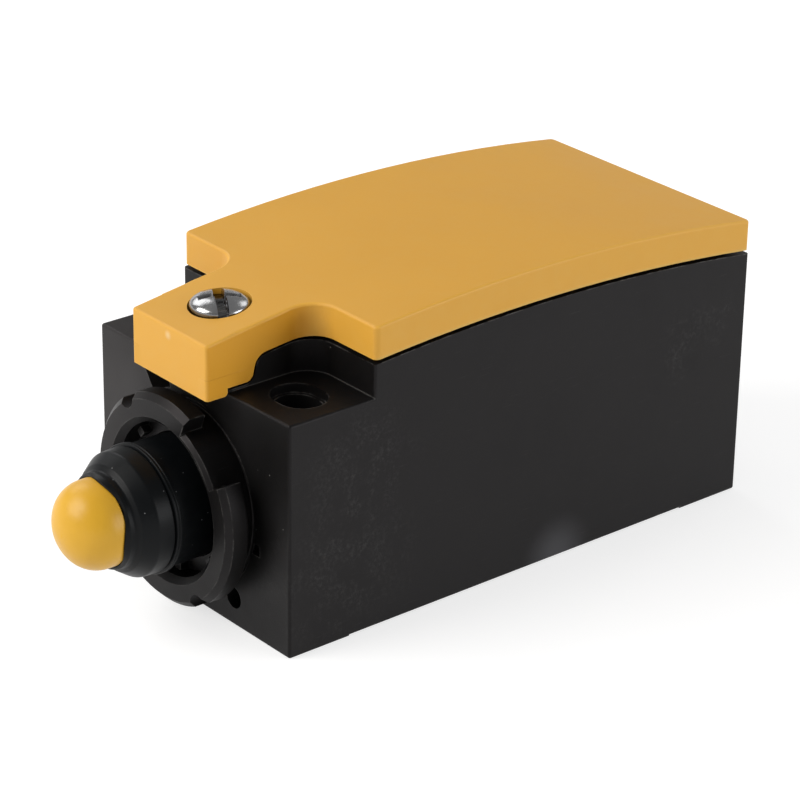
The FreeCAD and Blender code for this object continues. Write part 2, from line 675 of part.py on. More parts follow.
def make_stem_pin():
    return rod_z(STEM_PIN_R, CARRIER_LOW + STEM_PIN_SHY, CARRIER_HIGH - STEM_PIN_SHY, 0, STEM_PIN_Y)


def nc_bridge_y():
    return NC_LEG_Y + LEG_THICK + 2 * TIP_H + TOUCH_GAP


def make_contact_carrier():
    corners = [(CARRIER_FRONT, CARRIER_LOW), (CARRIER_FRONT, CARRIER_HIGH),
               (CARRIER_REAR, CARRIER_HIGH), (CARRIER_REAR, CARRIER_LOW)]
    body = extruded_x([(y, z, CARRIER_ROUND) for y, z in corners], -CARRIER_HALF, CARRIER_HALF)
    nc_front = nc_bridge_y() - LOST_MOTION - LOST_MOTION_PLAY
    no_rear = NO_BRIDGE_Y + BRIDGE_THICK + TOUCH_GAP
    low = AXIS_Z - WINDOW_HALF_HEIGHT
    high = AXIS_Z + WINDOW_HALF_HEIGHT
    cuts = [box(-CARRIER_HALF, CARRIER_HALF, nc_front, NC_WINDOW_REAR, low, high),
            box(-CARRIER_HALF, CARRIER_HALF, NO_WINDOW_FRONT, no_rear, low, high),
            rod_y(STEM_TENON_R + FIT, CARRIER_FRONT, STEM_SOCKET_END),
            rod_z(STEM_PIN_R + FIT, CARRIER_LOW, CARRIER_HIGH, 0, STEM_PIN_Y)]
    for cut in cuts:
        body = body.cut(cut)
    return fused([body, rod_y(SPRING_SEAT_R, CARRIER_REAR, CARRIER_REAR + SPRING_SEAT)])


def make_bridge(front):
    """Moving contact strip across the carrier, narrowed at its middle where the spring bears."""
    low = AXIS_Z - BRIDGE_HALF_HEIGHT
    high = AXIS_Z + BRIDGE_HALF_HEIGHT
    strip = box(-BRIDGE_HALF, BRIDGE_HALF, front, front + BRIDGE_THICK, low, high)
    ends = [e for e in strip.Edges if abs(e.BoundBox.YLength - BRIDGE_THICK) < 1e-6]
    strip = strip.makeFillet(BRIDGE_ROUND, ends)
    for z in (low, high):
        strip = strip.cut(rod_y(BRIDGE_WAIST_R, front, front + BRIDGE_THICK, 0, z))
    return strip


def make_tips(y0, y1):
    """Two round contact tips, one at each side, as separate solids."""
    return Part.makeCompound([rod_y(TIP_R, y0, y1, x) for x in (-TIP_X, TIP_X)])


def make_terminal(leg_y, plate_y, screw_y):
    """Bent strip: a flat plate under the clamp and a leg down beside the carrier."""
    top = SHELF_Z + PLATE_THICK
    plate = box(LEG_OUT_X, PLATE_OUT_X, plate_y, plate_y + PLATE_REACH, SHELF_Z, top)
    arm = box(LEG_IN_X, PLATE_OUT_X, leg_y, leg_y + LEG_THICK, SHELF_Z, top)
    leg = box(LEG_IN_X, LEG_OUT_X, leg_y, leg_y + LEG_THICK, LEG_LOW_Z, top)
    hole = rod_z(TERMINAL_CORE_R + HOLE_PLAY, 0, COVER_CREST, TERMINAL_SCREW_X, screw_y)
    return fused([plate, arm, leg]).cut(hole)


def no_leg_y():
    """The open contacts meet at the end of the bridge's own travel."""
    bridge_travel = TRAVEL - LOST_MOTION
    return NO_BRIDGE_Y + BRIDGE_THICK + 2 * TIP_H + bridge_travel + TOUCH_GAP


def terminal_places():
    """Leg, plate and screw position along the length, for the closed and the open pair."""
    nc = (NC_LEG_Y, NC_LEG_Y, NC_LEG_Y + TERMINAL_SCREW_SET)
    no_end = no_leg_y() + LEG_THICK
    no = (no_leg_y(), no_end - PLATE_REACH, no_end - TERMINAL_SCREW_SET)
    return nc, no


def terminal_screw_points():
    return [(x, place[2]) for place in terminal_places() for x in (-TERMINAL_SCREW_X, TERMINAL_SCREW_X)]


def make_terminal_screws():
    seat = SHELF_Z + PLATE_THICK + CLAMP_THICK
    screws = []
    for x, y in terminal_screw_points():
        head = driven_head(TERMINAL_HEAD_R, TERMINAL_HEAD_H, Vector(x, y, seat), TERMINAL_DRIVE)
        screws.append(fused([head, rod_z(TERMINAL_CORE_R, TERMINAL_END_Z, seat, x, y)]))
    return Part.makeCompound(screws)


def make_clamp_plates():
    low = SHELF_Z + PLATE_THICK
    half = CLAMP_SIDE / 2
    plates = []
    for x, y in terminal_screw_points():
        plate = box(x - half, x + half, y - half, y + half, low, low + CLAMP_THICK)
        plates.append(plate.cut(rod_z(TERMINAL_CORE_R + HOLE_PLAY, low, low + CLAMP_THICK, x, y)))
    return Part.makeCompound(plates)


def make_contact_block_base():
    rear_wall = BLOCK_REAR - END_WALL_THICK
    solids = [box(-BLOCK_HALF, BLOCK_HALF, BLOCK_FRONT, BLOCK_REAR, FLOOR, BLOCK_BASE_Z),
              box(-SHELF_IN_X, SHELF_IN_X, BLOCK_FRONT, BLOCK_FRONT + END_WALL_THICK, FLOOR, END_WALL_Z),
              box(-SHELF_IN_X, SHELF_IN_X, rear_wall, BLOCK_REAR, FLOOR, END_WALL_Z),
              box(-RAIL_HALF, RAIL_HALF, BLOCK_FRONT, BLOCK_REAR, FLOOR, CARRIER_LOW - RAIL_PLAY),
              rod_y(SPRING_SEAT_R, rear_wall - SPRING_SEAT, rear_wall)]
    lug_top = FIX_POST_Z + FIX_LUG_THICK
    barrier_front = BARRIER_Y - BARRIER_THICK / 2
    for x0, x1 in ((-BLOCK_HALF, -SHELF_IN_X), (SHELF_IN_X, BLOCK_HALF)):
        solids.append(box(x0, x1, SHELF_FRONT, SHELF_REAR, FLOOR, SHELF_Z))
        solids.append(box(x0, x1, barrier_front, barrier_front + BARRIER_THICK, FLOOR, BARRIER_Z))
        solids.append(box(x0, x1, BLOCK_FRONT, SHELF_FRONT, FIX_POST_Z, lug_top))
        solids.append(box(x0, x1, SHELF_REAR, BLOCK_REAR, FIX_POST_Z, lug_top))
    body = fused(solids)
    cuts = [rod_y(STEM_R + HOLE_PLAY, BLOCK_FRONT, BLOCK_FRONT + END_WALL_THICK)]
    for x, y in fix_points():
        cuts.append(rod_z(FIX_POST_R + HOLE_PLAY, FLOOR, FIX_POST_Z, x, y))
        cuts.append(rod_z(FIX_CORE_R + HOLE_PLAY, FIX_POST_Z, lug_top, x, y))
    for x, y in terminal_screw_points():
        cuts.append(rod_z(TERMINAL_CORE_R + FIT, TERMINAL_END_Z - SCREW_END_PLAY, SHELF_Z, x, y))
    for cut in cuts:
        body = body.cut(cut)
    return body


def make_contact_block_lid():
    top = END_WALL_Z + LID_THICK
    rail_end = BLOCK_REAR - END_WALL_THICK - RAIL_PLAY
    solids = [box(-LID_HALF, LID_HALF, BLOCK_FRONT, BLOCK_REAR, END_WALL_Z, top),
              box(-RAIL_HALF, RAIL_HALF, CARRIER_FRONT, rail_end, CARRIER_HIGH + RAIL_PLAY, END_WALL_Z)]
    for x0, x1 in ((-LID_HALF, LID_SKIRT - LID_HALF), (LID_HALF - LID_SKIRT, LID_HALF)):
        solids.append(box(x0, x1, SHELF_FRONT, SHELF_REAR, LID_SKIRT_Z, END_WALL_Z))
    return fused(solids)


def make_block_screws():
    seat = FIX_POST_Z + FIX_LUG_THICK
    screws = []
    for x, y in fix_points():
        head = driven_head(FIX_HEAD_R, FIX_HEAD_H, Vector(x, y, seat), FIX_DRIVE)
        screws.append(fused([head, rod_z(FIX_CORE_R, FIX_END_Z, seat, x, y)]))
    return Part.makeCompound(screws)


def make_parts():
    nc, no = terminal_places()
    nc_y = nc_bridge_y()
    no_rear = NO_BRIDGE_Y + BRIDGE_THICK
    nc_terminal = make_terminal(*nc)
    no_terminal = make_terminal(*no)
    return {
        "housing": make_housing(),
        "cover": make_cover(),
        "cover_gasket": make_cover_gasket(),
        "cover_screw": make_cover_screw(),
        "screw_retainer": make_screw_retainer(),
        "screw_insert": make_screw_insert(),
        "bayonet_collar": make_bayonet_collar(),
        "collar_seal": make_collar_seal(),
        "guide_bush": make_guide_bush(),
        "boot": make_boot(),
        "boot_retaining_ring": make_boot_retaining_ring(),
        "plunger_cap": make_plunger_cap(),
        "plunger_stem": make_plunger_stem(),
        "stem_pin": make_stem_pin(),
        "contact_carrier": make_contact_carrier(),
        "return_spring": coil_y(RETURN_SPRING, CARRIER_REAR + FIT, BLOCK_REAR - END_WALL_THICK - FIT),
        "nc_bridge": make_bridge(nc_y),
        "no_bridge": make_bridge(NO_BRIDGE_Y),
        "nc_bridge_tips": make_tips(nc_y - TIP_H, nc_y),
        "no_bridge_tips": make_tips(no_rear, no_rear + TIP_H),
        "nc_contact_spring": coil_y(NC_SPRING, nc_y + BRIDGE_THICK + FIT, NC_WINDOW_REAR - FIT),
        "no_contact_spring": coil_y(NO_SPRING, NO_WINDOW_FRONT + FIT, NO_BRIDGE_Y - FIT),
        "nc_terminal_right": nc_terminal,
        "nc_terminal_left": mirrored(nc_terminal),
        "no_terminal_right": no_terminal,
        "no_terminal_left": mirrored(no_terminal),
        "nc_fixed_tips": make_tips(NC_LEG_Y + LEG_THICK, NC_LEG_Y + LEG_THICK + TIP_H),
        "no_fixed_tips": make_tips(no_leg_y() - TIP_H, no_leg_y()),
        "terminal_screws": make_terminal_screws(),
        "clamp_plates": make_clamp_plates(),
        "contact_block_base": make_contact_block_base(),
        "contact_block_lid": make_contact_block_lid(),
        "block_screws": make_block_screws(),
    }


def main():
    os.makedirs("parts", exist_ok=True)
    for name, shape in make_parts().items():
        placed = shape.copy()
        placed.translate(Vector(0, -SLOT_Y, 0))
        placed.exportStep("parts/" + name + ".step")
        print(name, len(placed.Solids), "solids", placed.isValid(), round(placed.Volume, 2), "mm3")


main()
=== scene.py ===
import json
import math

import bmesh
import bpy
from mathutils import Matrix, Vector


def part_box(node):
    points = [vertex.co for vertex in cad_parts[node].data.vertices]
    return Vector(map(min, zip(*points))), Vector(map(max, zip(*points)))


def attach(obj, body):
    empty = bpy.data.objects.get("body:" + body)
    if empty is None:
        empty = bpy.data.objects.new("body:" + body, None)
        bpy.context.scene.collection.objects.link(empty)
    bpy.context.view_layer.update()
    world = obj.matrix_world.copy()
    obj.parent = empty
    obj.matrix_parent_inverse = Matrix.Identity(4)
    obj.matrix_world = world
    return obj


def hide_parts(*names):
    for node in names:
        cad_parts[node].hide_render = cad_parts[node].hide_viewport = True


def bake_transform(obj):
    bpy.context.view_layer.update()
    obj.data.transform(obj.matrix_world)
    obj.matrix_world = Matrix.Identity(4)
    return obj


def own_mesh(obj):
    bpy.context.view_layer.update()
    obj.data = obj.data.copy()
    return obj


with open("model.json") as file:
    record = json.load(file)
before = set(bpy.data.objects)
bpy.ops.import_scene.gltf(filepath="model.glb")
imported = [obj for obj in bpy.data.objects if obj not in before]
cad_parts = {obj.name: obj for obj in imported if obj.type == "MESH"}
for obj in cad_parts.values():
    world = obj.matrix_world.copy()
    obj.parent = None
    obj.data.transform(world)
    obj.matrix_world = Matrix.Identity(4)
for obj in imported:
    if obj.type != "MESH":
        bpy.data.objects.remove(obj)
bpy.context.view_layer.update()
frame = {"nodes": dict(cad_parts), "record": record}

# Plunger limit switch: finishes, soft pieces and fine details.
# Places are in metres, in the frame of the solids; pieces are drawn in millimetres and scaled by MM.
MM = 0.001
scene = bpy.context.scene

# Where the solids are: the housing's front and rear faces and half width, the cover's tongue and the
# plunger's axis
FRONT_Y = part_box("housing")[0].y
REAR_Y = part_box("housing")[1].y
HALF_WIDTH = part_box("housing")[1].x
TONGUE_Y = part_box("cover")[0].y
AXIS_Z = (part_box("plunger_cap")[0].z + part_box("plunger_cap")[1].z) / 2


# Camera
IMAGE_SIZE = 800
SENSOR_MM = 36.0
CAMERA_FOCUS_PX = 3255.1
CAMERA_AZIMUTH = math.radians(49.994)
CAMERA_ELEVATION = math.radians(24.941)
CAMERA_ROLL = 0.016
CAMERA_DISTANCE = 333.5 * MM
CAMERA_OFFSET = (5.053 * MM, 1.414 * MM)
CAMERA_TARGET = Vector((0, FRONT_Y + 20 * MM, 15 * MM))
CAMERA_NEAR = 10 * MM


def add_camera():
    """Camera at the photograph's place, turned about its own line of sight by a small roll."""
    flat = math.cos(CAMERA_ELEVATION)
    back = Vector((math.sin(CAMERA_AZIMUTH) * flat, -math.cos(CAMERA_AZIMUTH) * flat,
                   math.sin(CAMERA_ELEVATION)))
    level = Vector((math.cos(CAMERA_AZIMUTH), math.sin(CAMERA_AZIMUTH), 0))
    upright = back.cross(level)
    right = math.cos(CAMERA_ROLL) * level + math.sin(CAMERA_ROLL) * upright
    up = math.cos(CAMERA_ROLL) * upright - math.sin(CAMERA_ROLL) * level
    eye = CAMERA_TARGET + right * CAMERA_OFFSET[0] + up * CAMERA_OFFSET[1] + back * CAMERA_DISTANCE
    lens = bpy.data.cameras.new("camera")
    lens.sensor_width = SENSOR_MM
    lens.lens = CAMERA_FOCUS_PX / IMAGE_SIZE * SENSOR_MM
    lens.clip_start = CAMERA_NEAR
    camera = bpy.data.objects.new("camera", lens)
    camera.matrix_world = Matrix.Translation(eye) @ Matrix((right, up, back)).transposed().to_4x4()
    scene.collection.objects.link(camera)
    scene.camera = camera


add_camera()


# Studio: soft lamps, a dim room and a white sweep. Lamps: direction, distance, size, level and colour
LAMPS = {
    "key_light": ((-0.45, -1.0, 0.75), 0.7, 0.45, 0.83, (1.0, 0.98, 0.95)),
    "left_light": ((-0.95, 0.05, 0.70), 0.7, 0.36, 0.20, (1.0, 1.0, 1.0)),
    "rear_light": ((-0.15, 1.0, 0.60), 0.8, 0.32, 0.09, (1.0, 1.0, 1.0)),
    "side_light": ((1.0, 0.7, 0.2), 0.8, 0.5, 0.53, (0.97, 0.98, 1.0)),
}
ROOM_LIGHT = 0.31


def add_light(name, direction, distance, size, level, color):
    """Soft square lamp; level is how bright it alone makes a white face turned to it."""
    lamp = bpy.data.lights.new(name, "AREA")
    lamp.size = size
    lamp.energy = level * (math.pi * distance) ** 2
    lamp.color = color
    place = Vector(direction).normalized()
    light = bpy.data.objects.new(name, lamp)
    light.location = CAMERA_TARGET + place * distance
    light.rotation_mode = "QUATERNION"
    light.rotation_quaternion = place.to_track_quat("Z", "Y")
    scene.collection.objects.link(light)


for lamp_name, lamp_values in LAMPS.items():
    add_light(lamp_name, *lamp_values)


def add_world():
    """Even white light from all round."""
    world = bpy.data.worlds.new("room")
    world.use_nodes = True
    background = world.node_tree.nodes["Background"]
    background.inputs["Color"].default_value = (1, 1, 1, 1)
    background.inputs["Strength"].default_value = ROOM_LIGHT
    scene.world = world


add_world()

SWEEP_RADIUS = 1.2
SWEEP_BEND = 0.25
SWEEP_STEPS = 8
SWEEP_SEGMENTS = 64
SWEEP_GLOW = 0.70
SWEEP_MATT = 0.46
BOUNCE_WHITE = 0.9


def sweep_white():
    """White seen directly, with part of the shadows kept; matt white for the light that it throws back."""
    material = bpy.data.materials.new("sweep_white")
    material.use_nodes = True
    tree = material.node_tree
    tree.nodes.clear()
    path = tree.nodes.new("ShaderNodeLightPath")
    seen = path.outputs["Is Camera Ray"]
    for name in ("Is Glossy Ray", "Is Transmission Ray"):
        either = tree.nodes.new("ShaderNodeMath")
        either.operation = "MAXIMUM"
        tree.links.new(seen, either.inputs[0])
        tree.links.new(path.outputs[name], either.inputs[1])
        seen = either.outputs[0]
    bounce = tree.nodes.new("ShaderNodeBsdfDiffuse")
    bounce.inputs["Color"].default_value = (BOUNCE_WHITE, BOUNCE_WHITE, BOUNCE_WHITE, 1)
    matt = tree.nodes.new("ShaderNodeBsdfDiffuse")
    matt.inputs["Color"].default_value = (SWEEP_MATT, SWEEP_MATT, SWEEP_MATT, 1)
    glow = tree.nodes.new("ShaderNodeEmission")
    glow.inputs["Strength"].default_value = SWEEP_GLOW
    both = tree.nodes.new("ShaderNodeAddShader")
    tree.links.new(matt.outputs[0], both.inputs[0])
    tree.links.new(glow.outputs[0], both.inputs[1])
    mix = tree.nodes.new("ShaderNodeMixShader")
    tree.links.new(seen, mix.inputs[0])
    tree.links.new(bounce.outputs[0], mix.inputs[1])
    tree.links.new(both.outputs[0], mix.inputs[2])
    out = tree.nodes.new("ShaderNodeOutputMaterial")
    tree.links.new(mix.outputs[0], out.inputs["Surface"])
    return material


def add_sweep():
    """Round white floor whose rim bends up into a low wall."""
    outline = [(0, 0)]
    for step in range(SWEEP_STEPS + 1):
        turn = math.pi / 2 * step / SWEEP_STEPS
        outline.append((SWEEP_RADIUS + SWEEP_BEND * math.sin(turn), SWEEP_BEND * (1 - math.cos(turn))))
    mesh = lathe("sweep", outline, SWEEP_SEGMENTS, closed=False)
    mesh.materials.append(sweep_white())
    add_object(mesh)


# Meshes: steps in a rounding, the angle of a sharp corner, steps of a broken edge, sides of a wire, and welds
ARC_STEPS = 8
SMOOTH_ANGLE = math.radians(35)
EDGE_SEGMENTS = 2
WIRE_SIDES = 12
WELD = 1e-6
FINE_WELD = 0.1 * WELD


def add_object(mesh):
    """Object of a mesh, under the mesh's name."""
    piece = bpy.data.objects.new(mesh.name, mesh)
    scene.collection.objects.link(piece)
    return piece


def tidy_mesh(mesh, weld=WELD):
    """Joins doubled points, turns faces outward and shades them smooth up to the real corners."""
    cleaned = bmesh.new()
    cleaned.from_mesh(mesh)
    bmesh.ops.remove_doubles(cleaned, verts=cleaned.verts, dist=weld)
    bmesh.ops.recalc_face_normals(cleaned, faces=cleaned.faces)
    cleaned.to_mesh(mesh)
    cleaned.free()
    mesh.shade_smooth()
    mesh.set_sharp_from_angle(angle=SMOOTH_ANGLE)
    return mesh


def rounded_outline(corners):
    """Points through (a, b, radius) corners, each inner one rounded by its radius."""
    points = []
    for i, (a, b, radius) in enumerate(corners):
        here = Vector((a, b))
        if radius == 0 or i in (0, len(corners) - 1):
            points.append(here)
            continue
        back = (Vector(corners[i - 1][:2]) - here).normalized()
        ahead = (Vector(corners[i + 1][:2]) - here).normalized()
        half = back.angle(ahead) / 2
        reach = radius / math.tan(half)
        start, end = here + back * reach, here + ahead * reach
        centre = here + (back + ahead).normalized() * (radius / math.sin(half))
        for step in range(ARC_STEPS + 1):
            lean = (start - centre).lerp(end - centre, step / ARC_STEPS).normalized()
            points.append(centre + lean * radius)
    return points


def lathe(name, outline, segments, closed=True):
    """Surface through (radius, height) points turned about Z; closed joins the last point to the first."""
    mesh = bpy.data.meshes.new(name)
    count = len(outline)
    verts, faces = [], []
    for s in range(segments):
        angle = 2 * math.pi * s / segments
        verts += [(r * math.cos(angle), r * math.sin(angle), h) for r, h in outline]
        following = ((s + 1) % segments) * count
        for i in range(count if closed else count - 1):
            j = (i + 1) % count
            faces.append((s * count + i, s * count + j, following + j, following + i))
    mesh.from_pydata(verts, [], faces)
    return tidy_mesh(mesh)


def tube(name, centres, radius, sides=WIRE_SIDES):
    """Round wire through a line of points about Z, its ends closed."""
    mesh = bpy.data.meshes.new(name)
    verts, faces = [], []
    for i, here in enumerate(centres):
        along = (centres[min(i + 1, len(centres) - 1)] - centres[max(i - 1, 0)]).normalized()
        out = Vector((here.x, here.y, 0)).normalized()
        up = along.cross(out).normalized()
        for s in range(sides):
            angle = 2 * math.pi * s / sides
            verts.append(here + (out * math.cos(angle) + up * math.sin(angle)) * radius)
    for i in range(len(centres) - 1):
        for s in range(sides):
            t = (s + 1) % sides
            faces.append((i * sides + s, i * sides + t, (i + 1) * sides + t, (i + 1) * sides + s))
    faces += [tuple(range(sides)), tuple(range(len(verts) - sides, len(verts)))]
    mesh.from_pydata(verts, [], faces)
    return tidy_mesh(mesh)


# Springs: closed turns at each end, steps in a turn
CLOSED_TURNS = 0.8
COIL_STEPS = 28


def coil(name, mean_r, wire_r, turns, low, high):
    """Compression spring about Z with closed end turns, between two heights."""
    end_rise = CLOSED_TURNS * 2 * wire_r
    open_pitch = (high - low - 2 * wire_r - 2 * end_rise) / (turns - 2 * CLOSED_TURNS)
    centres = []
    for step in range(int(turns * COIL_STEPS) + 1):
        turn = step / COIL_STEPS
        rise = min(turn, CLOSED_TURNS) * 2 * wire_r
        rise += max(0, min(turn, turns - CLOSED_TURNS) - CLOSED_TURNS) * open_pitch
        rise += max(0, turn - turns + CLOSED_TURNS) * 2 * wire_r
        angle = 2 * math.pi * turn
        centres.append(Vector((mean_r * math.cos(angle), mean_r * math.sin(angle), low + wire_r + rise)))
    return tube(name, centres, wire_r)


# Threads: steps in a pitch and round the rod; a ridge falls from its middle and is cut flat at a height of 1
THREAD_STEPS = 10
THREAD_SEGMENTS = 48
RIDGE_MIDDLE = 1.25
RIDGE_FALL = 2.5


def threaded_rod(name, core_r, crest_r, pitch, low, high, segments=THREAD_SEGMENTS):
    """Closed rod about Z with a helical thread between two radii."""
    mesh = bpy.data.meshes.new(name)
    rings = round((high - low) / pitch * THREAD_STEPS)
    verts, faces = [], []
    for ring in range(rings + 1):
        height = low + (high - low) * ring / rings
        for s in range(segments):
            phase = (height / pitch - s / segments) % 1
            ridge = min(1, max(0, RIDGE_MIDDLE - RIDGE_FALL * abs(2 * phase - 1)))
            r = core_r + (crest_r - core_r) * ridge
            angle = 2 * math.pi * s / segments
            verts.append((r * math.cos(angle), r * math.sin(angle), height))
    for ring in range(rings):
        for s in range(segments):
            t = (s + 1) % segments
            faces.append((ring * segments + s, ring * segments + t,
                          (ring + 1) * segments + t, (ring + 1) * segments + s))
    faces += [tuple(range(segments)), tuple(range(len(verts) - segments, len(verts)))]
    mesh.from_pydata(verts, [], faces)
    return tidy_mesh(mesh)


def wedge(name, top, low, top_z, low_z):
    """Block that narrows from half sizes (x, y) at its top to others at its foot."""
    mesh = bpy.data.meshes.new(name)
    verts = []
    for (half_x, half_y), z in ((low, low_z), (top, top_z)):
        verts += [(-half_x, -half_y, z), (half_x, -half_y, z), (half_x, half_y, z), (-half_x, half_y, z)]
    faces = [(0, 1, 2, 3), (4, 5, 6, 7)] + [(i, (i + 1) % 4, (i + 1) % 4 + 4, i + 4) for i in range(4)]
    mesh.from_pydata(verts, [], faces)
    return tidy_mesh(mesh)


def carved(mesh, cutters, edge=0.0):
    """Mesh less its cutters, with its sharp edges broken by a small bevel."""
    solid = add_object(mesh)
    tools = [add_object(cutter) for cutter in cutters]
    for tool in tools:
        cut = solid.modifiers.new("cut", "BOOLEAN")
        cut.operation = "DIFFERENCE"
        cut.solver = "EXACT"
        cut.object = tool
    if edge:
        bevel = solid.modifiers.new("edge", "BEVEL")
        bevel.width = edge
        bevel.segments = EDGE_SEGMENTS
        bevel.angle_limit = SMOOTH_ANGLE
    return baked(solid, tools)


def flat_shaded(mesh):
    """Mesh whose large faces keep their own direction, so that only its rounded edges are shaded round."""
    solid = add_object(mesh)
    solid.modifiers.new("flat", "WEIGHTED_NORMAL").keep_sharp = True
    return baked(solid)


def baked(solid, helpers=()):
    """Mesh of an object with its modifiers applied; the object and its helpers are removed."""
    bpy.context.view_layer.update()
    made = bpy.data.meshes.new_from_object(solid.evaluated_get(bpy.context.evaluated_depsgraph_get()))
    for used in [solid, *helpers]:
        bpy.data.objects.remove(used)
    return made


def joined(name, placed):
    """One mesh of (mesh, matrix) copies, scaled from millimetres."""
    whole = bmesh.new()
    for mesh, matrix in placed:
        copy = mesh.copy()
        copy.transform(matrix @ Matrix.Scale(MM, 4))
        whole.from_mesh(copy)
        bpy.data.meshes.remove(copy)
    mesh = bpy.data.meshes.new(name)
    whole.to_mesh(mesh)
    whole.free()
    return tidy_mesh(mesh, weld=FINE_WELD)


# Takes a piece drawn about Z, with the front face at 0, onto the plunger's axis
ON_PLUNGER_AXIS = Matrix.Translation((0, FRONT_Y, AXIS_Z)) @ Matrix.Rotation(-math.pi / 2, 4, "X")

add_sweep()
scene.view_settings.view_transform = "Standard"


# Finishes. How far a face has to turn for its finish to change, as the two ends of a smooth step
FACING = (0.55, 0.95)
ROUND_CORNER = (0.995, 0.90)
DOWNWARD = (-0.05, -0.45)
SLANTED = (0.05, 0.40)
CORNER_SAMPLES = 6
# Full share of a speck's radius, and how fast a scratch fades
SPECK_CORE = 0.5
SCRATCH_FADE = 0.04


class Finish:
    """Principled material whose colour, roughness and bump come from noise at real scale."""

    def __init__(self, name, **constants):
        self.material = bpy.data.materials.new(name)
        self.material.use_nodes = True
        self.tree = self.material.node_tree
        self.surface = self.tree.nodes["Principled BSDF"]
        for socket, value in constants.items():
            self.surface.inputs[socket.replace("_", " ")].default_value = value
        self.place = self.add("ShaderNodeTexCoord").outputs["Object"]

    def add(self, kind, **settings):
        node = self.tree.nodes.new(kind)
        for key, value in settings.items():
            setattr(node, key, value)
        return node

    def feed(self, socket, value):
        if hasattr(value, "is_output"):
            self.tree.links.new(value, socket)
        else:
            socket.default_value = value

    def math(self, operation, a, b=0.0):
        node = self.add("ShaderNodeMath", operation=operation)
        self.feed(node.inputs[0], a)
        self.feed(node.inputs[1], b)
        return node.outputs[0]

    def times(self, *factors):
        product = factors[0]
        for factor in factors[1:]:
            product = self.math("MULTIPLY", product, factor)
        return product

    def parts(self, vector):
        """X, Y and Z of a vector."""
        node = self.add("ShaderNodeSeparateXYZ")
        self.feed(node.inputs[0], vector)
        return node.outputs

    def along(self, axis):
        """Place on the piece along X, Y or Z, in metres."""
        return self.parts(self.place)[axis]

    def outward(self):
        """Direction that the surface faces."""
        return self.add("ShaderNodeNewGeometry").outputs["Normal"]

    def ramp(self, value, low, high, out_low=0.0, out_high=1.0):
        """Smooth step from out_low at low to out_high at high."""
        node = self.add("ShaderNodeMapRange", interpolation_type="SMOOTHSTEP")
        self.feed(node.inputs["Value"], value)
        node.inputs["From Min"].default_value = low
        node.inputs["From Max"].default_value = high
        node.inputs["To Min"].default_value = out_low
        node.inputs["To Max"].default_value = out_high
        return node.outputs["Result"]

    def noise(self, size, detail=3.0, roughness=0.55, stretch=(1, 1, 1), shift=(0, 0, 0)):
        """Cloudy value from 0 to 1 whose blobs are about size metres wide."""
        place = self.add("ShaderNodeMapping")
        self.feed(place.inputs["Vector"], self.place)
        place.inputs["Scale"].default_value = stretch
        place.inputs["Location"].default_value = shift
        node = self.add("ShaderNodeTexNoise")
        self.feed(node.inputs["Vector"], place.outputs[0])
        node.inputs["Scale"].default_value = 1 / size
        node.inputs["Detail"].default_value = detail
        node.inputs["Roughness"].default_value = roughness
        return node.outputs["Fac"]

    def specks(self, size, spacing, share):
        """1 inside small dots, one for some cells of a random grid."""
        cells = self.add("ShaderNodeTexVoronoi")
        self.feed(cells.inputs["Vector"], self.place)
        cells.inputs["Scale"].default_value = 1 / spacing
        dot = self.ramp(cells.outputs["Distance"], size / spacing, size / spacing * SPECK_CORE)
        pick = self.add("ShaderNodeSeparateColor")
        self.feed(pick.inputs[0], cells.outputs["Color"])
        return self.times(dot, self.math("LESS_THAN", pick.outputs[0], share))

    def scratches(self, width, length, share):
        """1 on a few fine lines along the piece."""
        lines = self.noise(width, 2.0, 0.5, stretch=(1, width / length, 1))
        return self.ramp(lines, 1 - share, 1 - share + SCRATCH_FADE)

    def patch(self, centre, radius):
        """1 at a place on the piece, fading to 0 at a radius from it."""
        node = self.add("ShaderNodeVectorMath", operation="DISTANCE")
        self.feed(node.inputs[0], self.place)
        node.inputs[1].default_value = centre
        return self.ramp(node.outputs["Value"], radius, 0)

    def facing(self, axis):
        """1 on faces turned to either end of an axis, 0 on the rest."""
        return self.ramp(self.math("ABSOLUTE", self.parts(self.outward())[axis]), *FACING)

    def softened(self, width):
        """Normal that turns gradually round corners, starting a width away from them."""
        node = self.add("ShaderNodeBevel", samples=CORNER_SAMPLES)
        node.inputs["Radius"].default_value = width
        return node.outputs[0]

    def edges(self, width):
        """1 along corners, fading to 0 about a width away on the flat."""
        node = self.add("ShaderNodeVectorMath", operation="DOT_PRODUCT")
        self.feed(node.inputs[0], self.softened(width))
        self.feed(node.inputs[1], self.outward())
        return self.ramp(node.outputs["Value"], *ROUND_CORNER)

    def lower_edges(self, width):
        """1 along the lower corners of upright faces, fading to 0 about a width above."""
        return self.ramp(self.parts(self.softened(width))[2], *DOWNWARD)

    def painted_light_long_edges(self):
        """1 on the rounding between the top and the two sides, where painted light is laid."""
        x, _, z = self.parts(self.outward())
        return self.ramp(self.times(self.math("ABSOLUTE", x), z), *SLANTED)

    def mix(self, factor, a, b):
        node = self.add("ShaderNodeMix", data_type="RGBA")
        self.feed(node.inputs[0], factor)
        self.feed(node.inputs[6], a if hasattr(a, "is_output") else (*a, 1))
        self.feed(node.inputs[7], b if hasattr(b, "is_output") else (*b, 1))
        return node.outputs[2]

    def color(self, value):
        self.feed(self.surface.inputs["Base Color"], value)

    def rough(self, value):
        self.feed(self.surface.inputs["Roughness"], value)

